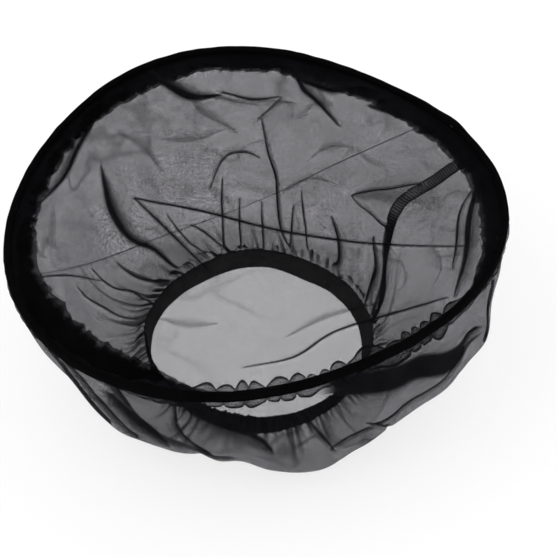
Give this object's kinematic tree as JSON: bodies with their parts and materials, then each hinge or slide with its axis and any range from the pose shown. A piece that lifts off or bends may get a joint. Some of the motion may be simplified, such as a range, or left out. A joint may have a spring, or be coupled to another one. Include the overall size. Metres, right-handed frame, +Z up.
{
  "type": "beekeeping veil",
  "caption": "Round net head veil: a net crown on a spring-wire hoop, with a hanging net side wall gathered onto an elastic neck band.",
  "frame": {"origin": "middle of the neck opening, on the surface that the neck band stands on", "axes": "+Z up through the crown, +X across the hoop's long way, -Y the front, +Y the back of the neck"},
  "size_m": [0.3317, 0.3181, 0.1358],
  "materials": {
    "net": "fine knitted polyester net, matt black, see-through",
    "seam_net": "two layers of net bound by overlock thread, charcoal",
    "hem_net": "folded net hem, several layers, matt black",
    "rim_tape": "woven polyester tape, black, fine ribs",
    "neck_tape": "woven soft tape, dark grey, slightly puckered",
    "elastic": "flat braided elastic, black",
    "thread": "polyester sewing thread, black",
    "spring_steel": "spring-steel wire, bright drawn"
  },
  "bodies": {
    "neck_band": {"neck_casing": "neck_tape", "neck_elastic": "elastic", "neck_elastic_tack": "thread", "neck_stitching": "thread"},
    "side_net": {"side_wall": "net", "side_seam": "seam_net", "side_seam_overlock": "thread"},
    "crown": {"crown_panel": "net", "rim_hoop": "spring_steel", "hoop_ferrule": "spring_steel", "rim_tape": "rim_tape", "rim_tape_lap": "rim_tape", "rim_lap_tack": "thread", "rim_facing": "hem_net", "facing_stitching": "thread", "crown_frill": "net", "wall_frill": "net", "rim_stitching": "thread"}
  },
  "joints": [
    {"name": "crown_lift", "type": "slide", "parent": "neck_band", "child": "side_net", "axis": [0, 0, 1], "range_m": [-0.06, 0.075], "deforming": ["side_wall", "side_seam", "side_seam_overlock"]},
    {"name": "crown_tilt", "type": "hinge", "parent": "side_net", "child": "crown", "pos_m": [0, 0, 0.128], "axis": [1, 0, 0], "range_deg": [-12, 12], "deforming": ["side_wall", "side_seam", "side_seam_overlock"]}
  ]
}
